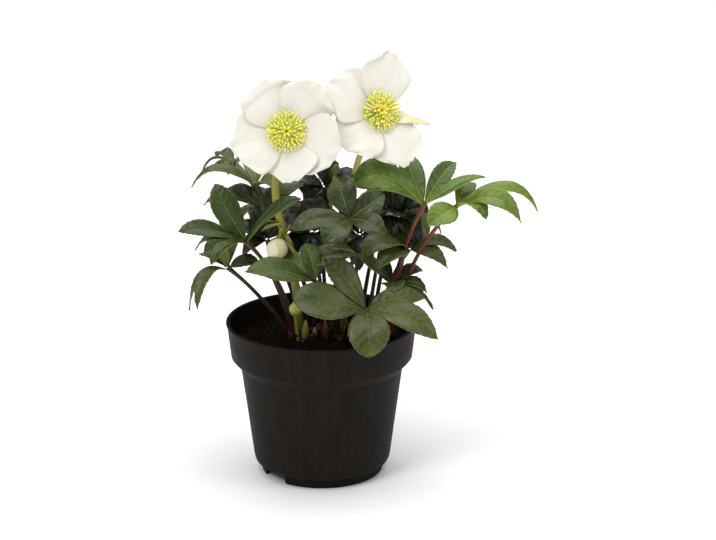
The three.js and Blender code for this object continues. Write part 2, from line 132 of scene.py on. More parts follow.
class Finish:
    """A material in the making, on one Principled shader."""

    def __init__(self, name, **sockets):
        self.material = bpy.data.materials.new(name)
        self.material.use_nodes = True
        self.tree = self.material.node_tree
        self.surface = self.tree.nodes["Principled BSDF"]
        for socket, value in sockets.items():
            self.plug(self.surface.inputs[socket.replace("_", " ")], value)

    def plug(self, socket, value):
        if isinstance(value, Field):
            self.tree.links.new(value.socket, socket)
        else:
            socket.default_value = value

    def node(self, kind, settings, inputs, output=0):
        made = self.tree.nodes.new(kind)
        for name, value in settings.items():
            setattr(made, name, value)
        for socket, value in inputs.items():
            self.plug(made.inputs[socket], value)
        return Field(self, made.outputs[output])

    def mix(self, factor, first, second):
        return self.node("ShaderNodeMix", {"data_type": "RGBA"}, {0: factor, 6: first, 7: second}, 2)

    def place(self):
        return self.node("ShaderNodeTexCoord", {}, {}, "Object")

    def stretched(self, x, y, z):
        return self.node("ShaderNodeMapping", {}, {"Vector": self.place(), "Scale": (x, y, z)})

    def noise(self, vector, scale, detail=3.0):
        inputs = {"Vector": vector, "Scale": scale, "Detail": detail}
        return self.node("ShaderNodeTexNoise", {}, inputs, "Fac")

    def along(self, attribute):
        """The three numbers that a piece's mesh carries under that name."""
        carried = self.node("ShaderNodeAttribute", {"attribute_name": attribute}, {}, "Vector")
        return [self.node("ShaderNodeSeparateXYZ", {}, {0: carried}, axis) for axis in "XYZ"]

    def bump(self, height, strength, distance):
        inputs = {"Height": height, "Strength": strength, "Distance": distance}
        self.plug(self.surface.inputs["Normal"], self.node("ShaderNodeBump", {}, inputs, "Normal"))


sweep = Finish("studio_sweep", Base_Color=(0.95, 0.95, 0.95, 1), Roughness=0.9)
FLOOR_SIZE = 12
bpy.ops.mesh.primitive_plane_add(size=FLOOR_SIZE, location=(0, 0, 0))
floor = bpy.context.object
floor.name = "floor"
floor.data.materials.append(sweep.material)

ROOM_LIGHT = 0.27
room = bpy.data.worlds.new("room")
bpy.context.scene.world = room
room.use_nodes = True
room.node_tree.nodes["Background"].inputs["Color"].default_value = (1, 1, 1, 1)
room.node_tree.nodes["Background"].inputs["Strength"].default_value = ROOM_LIGHT


def soft_box(name, spot, size, power):
    """A square light that faces the middle of the plant, as bright as power says in watts."""
    bpy.ops.object.light_add(type="AREA", location=spot)
    light = bpy.context.object
    light.name = name
    light.data.size = size
    light.data.energy = power
    light.rotation_euler = (Vector(spot) - at(0, 0, 130)).to_track_quat("Z", "Y").to_euler()


soft_box("key_light", (-1.0, -1.2, 1.5), 0.7, 17)
soft_box("side_light", (1.5, -0.5, 0.9), 0.7, 5.5)
soft_box("top_light", (0.1, 0.5, 3.0), 4.0, 118)

# ---------------------------------------------------------------- pot
# A thin-walled nursery pot, moulded in black polypropylene: a wide band under the rim, a tapering body, and
# an inset foot ring with gaps that let the water out of the holes in the floor.


def finished(piece, name, nodes=()):
    """Names a piece, rides it with the plant and hides the CAD nodes that it stands for."""
    piece.name = name
    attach(piece, "root")
    if nodes:
        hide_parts(*nodes)
    piece.select_set(False)
    return piece


def turned(profile, sides):
    """A solid turned from a profile of (radius, height) in mm: a disc, extruded and resized ring by ring."""
    bpy.ops.mesh.primitive_circle_add(vertices=sides, radius=profile[0][0] * MM, fill_type="NGON")
    piece = bpy.context.object
    bpy.ops.object.mode_set(mode="EDIT")
    bpy.ops.mesh.select_all(action="SELECT")
    for (r0, z0), (r1, z1) in zip(profile, profile[1:]):
        bpy.ops.mesh.extrude_region_move(TRANSFORM_OT_translate={"value": (0, 0, (z1 - z0) * MM)})
        bpy.ops.transform.resize(value=(r1 / r0, r1 / r0, 1), center_override=(0, 0, 0))
    bpy.ops.object.mode_set(mode="OBJECT")
    piece.data.transform(Matrix.Translation(at(0, 0, profile[0][1])))
    piece.location = (0, 0, 0)
    return piece


def apply_modifier(piece, kind, **settings):
    """Adds a modifier with these settings and applies it at once."""
    bpy.context.view_layer.objects.active = piece
    modifier = piece.modifiers.new(kind.lower(), kind)
    for name, value in settings.items():
        setattr(modifier, name, value)
    bpy.ops.object.modifier_apply(modifier=modifier.name)


def cut_with(piece, cutter):
    """Cuts the cutter's shape out of the piece, and removes the cutter."""
    apply_modifier(piece, "BOOLEAN", operation="DIFFERENCE", object=cutter, solver="EXACT")
    bpy.data.objects.remove(cutter)


# Radius and height: the foot ring, the body, the band and the rim, then down the inside to the floor.
POT_PROFILE = [
    (37.3, 2.8), (37.3, -2.7), (37.6, -3.2), (38.3, -3.2), (38.7, -2.7), (39.0, 2.9), (39.6, 3.3),
    (41.6, 3.5), (42.8, 4.4), (43.3, 5.6), (43.8, 8.2), (47.6, 37.6), (51.4, 66.1), (51.9, 67.5),
    (55.7, 71.5), (56.5, 72.4), (57.5, 73.7), (58.7, 84.0), (59.8, 94.2), (60.0, 94.6), (60.5, 94.9),
    (60.5, 95.6), (60.2, 96.0), (59.0, 96.0), (58.4, 95.6), (58.1, 94.4), (56.2, 74.5), (55.6, 72.9),
    (50.7, 67.5), (46.4, 37.8), (42.4, 8.8), (40.8, 5.2), (39.4, 4.6),
]
POT_SIDES = 144
FOOT_GAP_ANGLES = (-51.5, 128.5)
FOOT_GAP_SIZE = (20 * MM, 12 * MM, 10 * MM, 1)
FOOT_RING_RADIUS = 38.6
DRAIN_HOLES = 6
DRAIN_HOLE_RADIUS = 3.5
DRAIN_RING_RADIUS = 25
POT_FLOOR_HEIGHT = 3.8

pot = turned(POT_PROFILE, POT_SIDES)
for angle in FOOT_GAP_ANGLES:
    bpy.ops.mesh.primitive_cube_add(size=1)
    gap = bpy.context.object
    step_out = Matrix.Translation((0, -FOOT_RING_RADIUS * MM, -2 * MM))
    lie = Matrix.Rotation(math.radians(angle), 4, "Z") @ step_out
    gap.data.transform(Matrix.Translation(at(0, 0, 0)) @ lie @ Matrix.Diagonal(FOOT_GAP_SIZE))
    cut_with(pot, gap)
for i in range(DRAIN_HOLES):
    bpy.ops.mesh.primitive_cylinder_add(vertices=32, radius=DRAIN_HOLE_RADIUS * MM, depth=9 * MM)
    hole = bpy.context.object
    around = math.tau * (i + 0.5) / DRAIN_HOLES
    x, y = DRAIN_RING_RADIUS * math.cos(around), DRAIN_RING_RADIUS * math.sin(around)
    hole.data.transform(Matrix.Translation(at(x, y, POT_FLOOR_HEIGHT)))
    cut_with(pot, hole)
bpy.context.view_layer.objects.active = pot
pot.select_set(True)
bpy.ops.object.shade_smooth_by_angle(angle=math.radians(35))

pot_finish = Finish("black_pot_plastic", IOR=1.22, Specular_IOR_Level=0.3)
flow = pot_finish.noise(pot_finish.stretched(260, 260, 6), 1.0, 4.0)
clouds = pot_finish.noise(pot_finish.place(), 28.0, 3.0)
scuffs = pot_finish.noise(pot_finish.stretched(900, 900, 90), 1.0, 2.0)
rubbed = ((scuffs - 0.62) * 5.0).clamp()
body = pot_finish.mix(flow, tone(12, 9, 7), tone(38, 33, 28))
body = pot_finish.mix(clouds * 0.35, body, tone(20, 18, 17))
body = pot_finish.mix(rubbed * 0.14, body, tone(84, 78, 70))
pot_finish.plug(pot_finish.surface.inputs["Base Color"], body)
pot_finish.plug(pot_finish.surface.inputs["Roughness"], 0.46 + flow * 0.2 + clouds * 0.06)
pot_finish.bump(flow + scuffs * 0.4, 0.22, 0.0006)
pot.data.materials.append(pot_finish.material)
finished(pot, "nursery_pot", ["pot"])

# ---------------------------------------------------------------- soil
# Dark, moist peat, filled to a finger's breadth under the rim and a little heaped round the plant. Loose
# crumbs and a few fibres lie on it.
SOIL_EDGE = 87
SOIL_HEAP = 3.2
SOIL_REACH = 56
CRUMBS = 1500
chance = random.Random(7)


def soil_height(x, y):
    """The soil's surface in mm above the ground, with its lumps."""
    heap = SOIL_HEAP * max(0.0, 1 - (math.hypot(x - 6, y) / SOIL_REACH) ** 2)
    lumps = noise.fractal(Vector((x, y, 0)) / 7, 1.0, 2.0, 4) * 1.5
    return SOIL_EDGE + heap + lumps


SOIL_WALL = [(40.4, 5.6), (42.2, 9.2), (46.1, 38.0), (50.3, 67.8), (55.1, 73.1), (55.8, 75.0), (56.9, 86.0)]
rings = [(56.9 * (1 - i / 30) + 0.4 * i / 30, 86.0) for i in range(1, 31)]
soil = turned(SOIL_WALL + rings, 120)
for vertex in soil.data.vertices:
    spot = (vertex.co - AXIS) / MM
    if spot.z > 85:
        vertex.co.z = (soil_height(spot.x, spot.y) - (1.2 if math.hypot(spot.x, spot.y) > 56.5 else 0)) * MM
soil.select_set(True)
bpy.ops.object.shade_smooth()

soil_finish = Finish("moist_peat", Roughness=0.92, IOR=1.15)
coarse = soil_finish.noise(soil_finish.place(), 260.0, 5.0)
fine = soil_finish.noise(soil_finish.place(), 1400.0, 3.0)
dark_peat = soil_finish.mix(coarse, tone(4, 3, 2), tone(34, 21, 14))
flecks = ((fine - 0.62) * 7.0).clamp()
peat_colour = soil_finish.mix(flecks * 0.5, dark_peat, tone(84, 52, 32))
soil_finish.plug(soil_finish.surface.inputs["Base Color"], peat_colour)
soil_finish.bump(coarse + fine * 0.5, 0.9, 0.0012)
soil.data.materials.append(soil_finish.material)
finished(soil, "soil", ["soil"])


def copied(source, name):
    """Another of the same piece, with a mesh of its own."""
    copy = bpy.data.objects.new(name, source.data.copy())
    bpy.context.collection.objects.link(copy)
    return copy


def joined(objects):
    """Joins these into the first of them."""
    bpy.ops.object.select_all(action="DESELECT")
    for piece in objects:
        piece.select_set(True)
    bpy.context.view_layer.objects.active = objects[0]
    bpy.ops.object.join()
    whole = bpy.context.object
    whole.select_set(False)
    return whole


def lumpy_crumb(seed, stretch):
    """A crumb of peat, or a fibre where it is stretched far."""
    bpy.ops.mesh.primitive_ico_sphere_add(subdivisions=1, radius=1)
    crumb = bpy.context.object
    for vertex in crumb.data.vertices:
        vertex.co *= 0.75 + 0.5 * noise.noise(vertex.co * 1.7 + Vector((seed, 0, 0)))
        vertex.co.x *= stretch
    return crumb


crumb_kinds = [lumpy_crumb(1, 1.2), lumpy_crumb(2, 0.9), lumpy_crumb(3, 1.6), lumpy_crumb(4, 5.0)]
crumbs = []
for i in range(CRUMBS):
    kind = chance.choices(crumb_kinds, (5, 5, 3, 1))[0]
    reach = SOIL_REACH * math.sqrt(chance.random())
    around = chance.uniform(0, math.tau)
    x, y = reach * math.cos(around), reach * math.sin(around)
    size = chance.uniform(0.35, 1.3) * (0.35 if kind is crumb_kinds[3] else 1)
    crumb = copied(kind, "crumb")
    spin = Matrix.Rotation(chance.uniform(0, math.tau), 4, "Z")
    turn = spin @ Matrix.Rotation(chance.uniform(-0.5, 0.5), 4, "X")
    lift = Matrix.Translation(at(x, y, soil_height(x, y) + size * 0.25))
    crumb.data.transform(lift @ turn @ Matrix.Scale(size * MM, 4))
    crumbs.append(crumb)
for kind in crumb_kinds:
    bpy.data.objects.remove(kind)
loose_soil = joined(crumbs)
loose_soil.data.materials.append(soil_finish.material)
finished(loose_soil, "loose_crumbs")

# ---------------------------------------------------------------- stalks
# A leaf stalk is a fleshy round stem, red-brown low down and greener towards its leaflets, with a wider foot
# where it clasps the crown. Each rises from the crown and bends out to its leaf. Those of the young leaves
# are redder.


def tube(points, radii, around=3):
    """A round stem through the points, in mm, with its radius at each."""
    bpy.ops.curve.primitive_bezier_curve_add(location=(0, 0, 0))
    path = bpy.context.object
    path.data.bevel_depth = MM
    path.data.bevel_resolution = around
    path.data.resolution_u = 5
    path.data.use_fill_caps = True
    spline = path.data.splines[0]
    spline.bezier_points.add(len(points) - 2)
    for knot, spot, radius in zip(spline.bezier_points, points, radii):
        knot.co = at(*spot)
        knot.handle_left_type = knot.handle_right_type = "AUTO"
        knot.radius = radius
    path.select_set(True)
    bpy.ops.object.convert(target="MESH")
    stem = bpy.context.object
    bpy.ops.object.shade_smooth()
    stem.select_set(False)
    return stem


def carry(piece, numbers, name="run"):
    """Stores three numbers at each vertex, for the piece's material to read."""
    attribute = piece.data.attributes.new(name, "FLOAT_VECTOR", "POINT")
    attribute.data.foreach_set("vector", [n for row in numbers for n in row])


def carry_height(piece):
    """Stores how far up a stem each vertex is, 0 to 1."""
    heights = [vertex.co.z for vertex in piece.data.vertices]
    low, high = min(heights), max(heights)
    carry(piece, [(0.0, (h - low) / MM, (h - low) / (high - low)) for h in heights])


def stem_finish(name, foot, middle, top, streak):
    """A fleshy stem whose colour runs from its foot to its top, with fine lengthwise streaks."""
    finish = Finish(name, Roughness=0.45, IOR=1.42)
    height = finish.along("run")[2]
    lower = finish.mix((height * 2.0).clamp(), foot, middle)
    upper = finish.mix((height * 2.0 - 1.0).clamp(), lower, top)
    lines = finish.noise(finish.stretched(900, 900, 50), 1.0, 2.0)
    blotches = finish.noise(finish.place(), 140.0, 2.0)
    colour = finish.mix(((lines - 0.45) * 2.2).clamp() * 0.5, upper, streak)
    colour = finish.mix(blotches * 0.25, colour, middle)
    finish.plug(finish.surface.inputs["Base Color"], colour)
    finish.bump(lines, 0.3, 0.0004)
    return finish.material


leaf_stalk_finish = stem_finish(
    "leaf_stalk", tone(48, 24, 17), tone(58, 34, 22), tone(72, 58, 30), tone(36, 22, 14)
)
red_stalk_finish = stem_finish(
    "red_leaf_stalk", tone(52, 24, 18), tone(104, 46, 26), tone(120, 66, 30), tone(84, 36, 20)
)

# ---------------------------------------------------------------- leaves
# Each leaf is divided like a hand into leathery leaflets: narrow at the foot, widest past the middle, toothed
# towards the tip, with a pale midrib and raised side veins. The upper side is dark and satin, the lower side
# paler. Old leaves are dark green and the two youngest yellow-green. Those deep in the plant are painted
# nearly black: painted shade for the plant's shaded middle.
VEIN_SPACING = 5.2
BLADE_THICKNESS = 0.45


def leaf_finishes(name, dark, light, rib, under):
    """The materials of a leaf's two sides, which follow its veins."""
    sides = []
    for side, deep, pale, rough in (("upper", dark, light, 0.26), ("under", under, rib, 0.6)):
        finish = Finish(f"{name}_{side}", IOR=1.45)
        across, along, edge = finish.along("run")
        distance = abs(across)
        age = finish.along("age")[0]
        clouding = finish.noise(finish.place(), 62.0, 2.0)
        speckle = finish.noise(finish.place(), 420.0, 4.0)
        mottle = clouding * 0.5 + speckle * 0.5
        grain = finish.noise(finish.place(), 900.0, 2.0)
        side_vein = (1 - ((along - distance * 0.9) / VEIN_SPACING).off_line() * 8.0).clamp()
        # Darker midway between the side veins, in the hollows of the blade's quilting: painted shade.
        vein_hollow_shade = ((along - distance * 0.9) / VEIN_SPACING).off_line() * 2.0
        vein = side_vein * (1 - edge).clamp() ** 0.5
        midrib = (1.2 - distance / (0.72 - along * 0.009)).clamp()
        margin = ((edge - 0.93) * 12.0).clamp()
        # Broad paler patches at random, which also stand in for the greyish sheen on some leaflets: partly
        # real tone, partly painted sheen.
        patch_and_sheen = finish.noise(finish.place(), 34.0, 1.0)
        paleness = (mottle - 0.34) * 1.6 + (age - 0.5) * 0.6 + (patch_and_sheen - 0.5) * 0.8
        colour = finish.mix(paleness.clamp(), deep, pale)
        colour = finish.mix(vein_hollow_shade * 0.25, colour, deep)
        colour = finish.mix(vein * 0.13, colour, rib)
        colour = finish.mix(midrib * (0.55 - along * 0.01).clamp(), colour, rib)
        colour = finish.mix(margin * 0.35, colour, rib)
        finish.plug(finish.surface.inputs["Base Color"], colour)
        finish.plug(finish.surface.inputs["Roughness"], rough + mottle * 0.2 + vein * 0.06)
        finish.bump(grain * 0.3 + mottle * 0.6 - vein * 0.45 - midrib, 0.6, 0.0006)
        sides.append(finish.material)
    return sides


# A nearly black copy of the leaf finish for the leaves in the plant's middle: painted shade.
painted_shade_leaf = leaf_finishes(
    "painted_shade_leaf", dark=tone(15, 20, 8), light=tone(42, 48, 21), rib=tone(70, 78, 36), under=tone(40, 46, 21)
)
old_leaf = leaf_finishes(
    "old_leaf", dark=tone(39, 50, 13), light=tone(92, 103, 42), rib=tone(128, 136, 66), under=tone(80, 86, 42)
)
fresh_leaf = leaf_finishes(
    "fresh_leaf", dark=tone(44, 62, 14), light=tone(104, 120, 46), rib=tone(140, 152, 70),
    under=tone(84, 92, 42),
)
young_leaf = leaf_finishes(
    "young_leaf", dark=tone(56, 86, 10), light=tone(132, 152, 46), rib=tone(178, 190, 92),
    under=tone(116, 122, 50),
)

# name: foot of the stalk (x, y), hub (x, y, z), the way its upper side faces, how the stalk leans, then its
# leaflets as tip x, y, z, width, arch, roll in degrees and droop of the tip.
LEAVES = {
    "front": (
        (18, -12), (28, -40, 116), (0, -0.6, 0.8), 0.45,
        [(72, -52, 102, 19, 7, 0, 1), (64, -24, 120, 15, 7, 0, 2), (30, -66, 95, 25, 7, 0, 1),
         (-16, -58, 129, 25, 4, -12, 2), (2, -36, 148, 18, 3, 10, 1)],
    ),
    "centre": (
        (10, -6), (18, -32, 172), (0, -0.75, 0.66), 0.2,
        [(11, -24, 197, 18, 4, 0, 2), (39, -26, 186, 15, 3, 0, 1), (39, -48, 167, 14, 4, 0, 1),
         (3, -56, 164, 18, 5, 0, 1), (-17, -44, 170, 14, 5, 10, 2)],
    ),
    "right_high": (
        (42, -8), (64, -5, 173), (-0.1, -0.5, 0.85), 0.15,
        [(20, -12, 192, 24, 11, -8, 4), (52, 24, 202, 16, 3, 25, 1), (102, 8, 189, 15, 4, -20, 2),
         (84, 20, 196, 12, 3, 20, 2)],
    ),
    "right_far": (
        (45, -6), (84, -8, 173), (0.2, -0.4, 0.9), 0.12,
        [(136, 2, 169, 12, 16, 0, 2), (124, -20, 168, 13, 13, 10, 2), (66, -28, 167, 17, 3, 0, 1),
         (92, 28, 180, 13, 5, 0, 2), (102, -26, 172, 11, 6, 0, 2)],
    ),
    "right_mid": (
        (34, -1), (55, 2, 142), (0, -0.4, 0.9), 0.25,
        [(85, 8, 141, 11, 6, 0, 2), (79, -8, 135, 13, 5, 0, 2), (26, -26, 148, 19, 8, 0, 2),
         (36, -30, 142, 14, 5, 0, 2), (50, 22, 150, 15, 5, 0, 2), (36, 14, 158, 14, 4, 0, 2),
         (68, 14, 150, 10, 3, 0, 2)],
    ),
    "right_low": (
        (27, -6), (44, -10, 122), (0, -0.3, 0.95), 0.3,
        [(64, 6, 129, 10, 4, 0, 2), (70, -12, 108, 5, 7, 0, 1), (46, -36, 128, 14, 3, 0, 2),
         (30, 10, 134, 13, 4, 0, 2), (66, -18, 122, 12, 4, 0, 2)],
    ),
    "left": (
        (-17, -7), (-46, -18, 153), (-0.2, -0.5, 0.85), 0.2,
        [(-88, -24, 163, 12, 4, 0, 2), (-66, -12, 190, 17, 2, 0, 2), (-12, -34, 186, 12, 6, 0, 1),
         (-67, -40, 147, 11, 6, 0, 2), (-80, -4, 146, 8, 8, 0, 3), (-72, -28, 150, 9, 6, 0, 2),
         (-62, 0, 166, 12, 3, 0, 2)],
    ),
    "left_low": (
        (-20, 3), (-59, 2, 130), (-0.3, -0.3, 0.9), 0.45,
        [(-84, -10, 108, 7, 10, 0, 2), (-78, -20, 112, 7, 9, 0, 2), (-76, 12, 137, 12, 5, 0, 2),
         (-54, 26, 146, 16, 4, 0, 2), (-38, -8, 137, 11, 3, 0, 2), (-66, -6, 146, 14, 3, 0, 3)],
    ),
    "left_inner": (
        (-5, -10), (-3, -30, 131), (0, -0.55, 0.83), 0.5,
        [(-46, -42, 143, 18, 4, 0, 2), (-10, -34, 158, 14, 2, 0, 2), (-28, -10, 146, 12, 4, 0, 2)],
    ),
    "left_high": (
        (-14, 8), (-41, 15, 180), (-0.1, -0.3, 0.95), 0.2,
        [(-82, 10, 184, 10, 11, 0, 3), (-70, 32, 190, 9, 5, 0, 2), (-44, 46, 186, 14, 5, 0, 2),
         (-26, -2, 184, 16, 4, 0, 2), (-14, 14, 186, 14, 4, 0, 2)],
    ),
    "left_top": (
        (-5, 18), (-55, 37, 188), (-0.1, 0.1, 0.99), 0.2,
        [(-77, 33, 187, 8, 5, 0, 3), (-68, 54, 191, 9, 4, 0, 2), (-36, 58, 192, 12, 5, 0, 2),
         (-59, 18, 189, 8, 4, 0, 2)],
    ),
    "left_back": (
        (-9, 13), (-38, 24, 162), (0, -0.3, 0.95), 0.25,
        [(-64, 34, 172, 15, 5, 0, 2), (-74, 12, 172, 12, 7, 0, 3), (-11, 30, 178, 17, 5, 0, 2),
         (-36, 52, 168, 17, 6, 0, 3), (-40, 0, 158, 15, 5, 0, 3), (-18, 2, 160, 14, 4, 0, 3)],
    ),
    "centre_low": (
        (5, -14), (22, -22, 146), (0, -0.5, 0.85), 0.35,
        [(8, -44, 158, 11, 2, 0, 1), (-11, -22, 140, 16, 5, 0, 3), (40, -10, 130, 14, 2, 0, 2)],
    ),
    "back_mid_left": (
        (3, 9), (-2, 26, 160), (0, -0.3, 0.95), 0.3,
        [(-18, 6, 162, 17, 6, 0, 3), (-12, 40, 180, 15, 4, 0, 2), (18, 34, 176, 16, 5, 0, 3),
         (8, 0, 152, 16, 6, 0, 3)],
    ),
    "back_mid_right": (
        (24, 9), (40, 24, 160), (0.1, -0.3, 0.95), 0.3,
        [(60, 34, 170, 15, 5, 0, 2), (63, 6, 158, 14, 6, 0, 3), (32, 38, 182, 15, 3, 0, 2),
         (28, 4, 160, 15, 5, 0, 3)],
    ),
    "rear_left": (
        (4, 22), (-24, 58, 148), (-0.1, 0.4, 0.9), 0.4,
        [(-60, 64, 140, 17, 9, 0, 3), (-44, 88, 132, 17, 8, 0, 3), (-12, 92, 136, 18, 9, 0, 3),
         (6, 64, 152, 15, 6, 0, 3)],
    ),
    "rear_right": (
        (29, 19), (42, 56, 146), (0.2, 0.4, 0.9), 0.4,
        [(78, 52, 142, 17, 9, 0, 3), (70, 82, 130, 18, 8, 0, 3), (38, 92, 134, 18, 9, 0, 3),
         (16, 70, 150, 15, 6, 0, 3)],
    ),
}
# Leaves that fill the plant's middle. They have no CAD node of their own and take the nearly black
# painted-shade finish.
INNER_LEAVES = {
    "inner_left": (
        (-12, 4), (-34, 2, 148), (0, -0.4, 0.9), 0.3,
        [(-52, -4, 158, 15, 4, 0, 2), (-50, 2, 140, 15, 4, 0, 3), (-24, -6, 138, 15, 4, 0, 3),
         (-20, 0, 162, 15, 4, 0, 2), (-38, 4, 172, 15, 4, 0, 2)],
    ),
    "inner_middle": (
        (2, 2), (-6, 6, 152), (0, -0.4, 0.9), 0.3,
        [(-26, 2, 158, 16, 4, 0, 3), (-22, -2, 138, 16, 4, 0, 3), (8, -4, 138, 16, 4, 0, 3),
         (14, 4, 160, 16, 4, 0, 2), (-6, 8, 176, 16, 4, 0, 2), (-2, -10, 130, 15, 4, 0, 3)],
    ),
    "inner_right": (
        (20, 4), (24, 6, 150), (0, -0.4, 0.9), 0.3,
        [(4, 0, 148, 16, 4, 0, 3), (46, 2, 148, 16, 4, 0, 3), (36, 4, 170, 15, 4, 0, 2),
         (12, 6, 172, 15, 4, 0, 2), (24, -6, 134, 15, 4, 0, 3)],
    ),
    "inner_far": (
        (32, 6), (48, 14, 160), (0.1, -0.4, 0.9), 0.3,
        [(68, 8, 166, 15, 4, 0, 2), (62, 2, 148, 15, 4, 0, 3), (36, 4, 146, 15, 4, 0, 3),
         (34, 12, 176, 15, 4, 0, 2), (56, 14, 180, 14, 4, 0, 2)],
    ),
    "inner_top": (
        (10, 10), (2, 18, 178), (0, -0.4, 0.9), 0.2,
        [(-20, 14, 186, 14, 4, 0, 2), (-10, 12, 170, 15, 4, 0, 3), (14, 12, 172, 15, 4, 0, 3),
         (24, 16, 188, 14, 4, 0, 2), (4, 20, 198, 15, 4, 0, 2)],
    ),
}
YOUNG = ("right_high", "right_far")
FRESH = ("left_inner", "left")
# Leaves whose blades are painted nearly black: painted shade deep in the plant.
PAINTED_SHADE_LEAVES = (*INNER_LEAVES, "back_mid_left", "back_mid_right")
RED_STALKED = ("right_high", "right_far")
STOUT = ("left", "right_high")
CROWN_TOP = 84

bpy.ops.mesh.primitive_grid_add(x_subdivisions=12, y_subdivisions=38, size=2)
leaflet_blank = bpy.context.object
leaflet_blank.select_set(False)


def bent(start, middle, end, t):
    """The point at that share of a bent line from start to end."""
    return start * (1 - t) ** 2 + middle * (2 * t * (1 - t)) + end * t**2


TEETH_START, TEETH_END = 0.42, 0.97
TOOTH_SPACING = 3.4


def tooth(t, length, phase):
    """How far the margin stands out as a tooth, 0 to 1, at that share of a leaflet's length."""
    if t < TEETH_START or t > TEETH_END:
        return 0.0
    step = t * length / TOOTH_SPACING + phase
    return (step - math.floor(step)) * min(1, (t - TEETH_START) * 5)


def leaflet(hub, face, tip, width, arch, roll, droop, seed):
    """One leaflet as a thin sheet whose vertices carry their distance from the midrib and from the foot."""
    blade = copied(leaflet_blank, "leaflet")
    start = hub + (tip - hub).normalized() * 1.1
    middle = (hub + tip) / 2 + face * arch * 2
    length = (tip - hub).length
    taper = 0.68 if width > 22 else 0.92
    peak = 1.05 / (1.05 + taper)
    widest = peak**1.05 * (1 - peak) ** taper
    numbers = []
    for vertex in blade.data.vertices:
        a, t = vertex.co.x, (vertex.co.y + 1) / 2
        point = bent(start, middle, tip, t) - face * droop * max(0.0, t - 0.6) ** 2 * 9
        ahead = bent(start, middle, tip, t + 0.01) - face * droop * max(0.0, t - 0.59) ** 2 * 9
        tangent = (ahead - point).normalized()
        side = tangent.cross(face).normalized()
        side.rotate(Quaternion(tangent, math.radians(roll)))
        up = side.cross(tangent)
        outline = (t**1.05 * (1 - t) ** taper) / widest
        half = width / 2 * max(outline, 0.13 * (1 - t) + 0.02)
        half += 0.7 * tooth(t, length, seed) * abs(a) ** 6
        offset = a * half
        wave = math.sin(t * length / 6.5 + seed * 2.4 + a * 1.3) * 0.75 * a * a * min(1, t * 4)
        puff = 0.3 * abs(a) * (1 - abs(a)) * 2.6
        pucker = math.cos((t * length - abs(offset) * 0.9) / VEIN_SPACING * math.tau) * puff
        fold = 0.34 * abs(offset) - 0.022 * offset * offset
        groove = -0.32 * math.exp(-((offset / 0.9) ** 2)) * (1 - t)
        twist = offset * 0.12 * math.sin(seed * 1.9) * t
        bow = math.sin(math.pi * t) * math.sin(seed * 2.3 + 1) * width * 0.09
        point = point + side * (offset + bow) + up * (wave + pucker + fold + groove + twist)
        vertex.co = AXIS + point * MM
        numbers.append((offset, t * length, abs(a)))
    carry(blade, numbers)
    carry(blade, [((math.sin(seed * 7.3) + 1) / 2, 0.0, 0.0)] * len(numbers), "age")
    return blade


def stalk_line(foot, hub, lean):
    """Seven points on a bent line from the crown to the hub."""
    low = Vector((foot[0], foot[1], CROWN_TOP))
    rise = hub - low
    elbow = low + Vector((rise.x * lean, rise.y * lean, rise.z * 0.62))
    return [bent(low, elbow, hub, i / 6) for i in range(7)]


def blade_finishes(name):
    """The upper and lower side's materials of the leaf with that name."""
    if name in YOUNG:
        return young_leaf
    if name in FRESH:
        return fresh_leaf
    return painted_shade_leaf if name in PAINTED_SHADE_LEAVES else old_leaf


STALK_RADII = (2.0, 1.5, 1.35, 1.25)
STALK_END_RADII = (1.2, 1.25, 1.6)


def leaf(name, foot, hub_place, facing, lean, leaflets):
    """A whole leaf: its leaflets as sheets with two sides, and its stalk."""
    hub = Vector(hub_place)
    face = Vector(facing).normalized()
    blades = []
    for number, (x, y, z, width, arch, roll, droop) in enumerate(leaflets):
        seed = number * 1.7 + sum(map(ord, name)) % 13
        blades.append(leaflet(hub, face, Vector((x, y, z)), width, arch, roll, droop, seed))
    whole = joined(blades)
    for material in blade_finishes(name):
        whole.data.materials.append(material)
    sides = dict(material_offset=1, material_offset_rim=1)
    apply_modifier(whole, "SOLIDIFY", thickness=BLADE_THICKNESS * MM, offset=-1, **sides)
    whole.select_set(True)
    bpy.ops.object.shade_smooth()
    points = stalk_line(foot, hub, lean)
    stout = 1.7 if name in STOUT else 1.0
    stalk = tube(points, [radius * stout for radius in STALK_RADII] + list(STALK_END_RADII))
    carry_height(stalk)
    stalk.data.materials.append(red_stalk_finish if name in RED_STALKED else leaf_stalk_finish)
    nodes = [] if name in INNER_LEAVES else [f"leaf_{name}"]
    finished(joined([whole, stalk]), f"leaf_{name}", nodes)


for name, (foot, hub_place, facing, lean, leaflets) in (LEAVES | INNER_LEAVES).items():
    leaf(name, foot, hub_place, facing, lean, leaflets)
bpy.data.objects.remove(leaflet_blank)

# ---------------------------------------------------------------- crown
# The short, dark rootstock at the soil's surface, scaly with the feet of old stalks. Every leaf stalk and
# every stem grows from it.
crown_low, crown_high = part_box("crown")
bpy.ops.mesh.primitive_ico_sphere_add(subdivisions=5, radius=1)
crown = bpy.context.object
middle = (crown_low + crown_high) / 2
half = (crown_high - crown_low) / 2
for vertex in crown.data.vertices:
    lumps = 1 + 0.22 * noise.fractal(vertex.co * 3.1, 1.0, 2.0, 3)
    vertex.co = middle + Vector(c * h for c, h in zip(vertex.co, half)) * min(lumps, 1.0) * 0.97
crown.select_set(True)
bpy.ops.object.shade_smooth()
crown_finish = Finish("scaly_crown", Roughness=0.85)
scales = crown_finish.noise(crown_finish.place(), 320.0, 4.0)
crown_colour = crown_finish.mix(scales, tone(20, 11, 7), tone(66, 40, 26))
crown_finish.plug(crown_finish.surface.inputs["Base Color"], crown_colour)
crown_finish.bump(scales, 0.8, 0.0012)
crown.data.materials.append(crown_finish.material)
finished(crown, "crown", ["crown"])

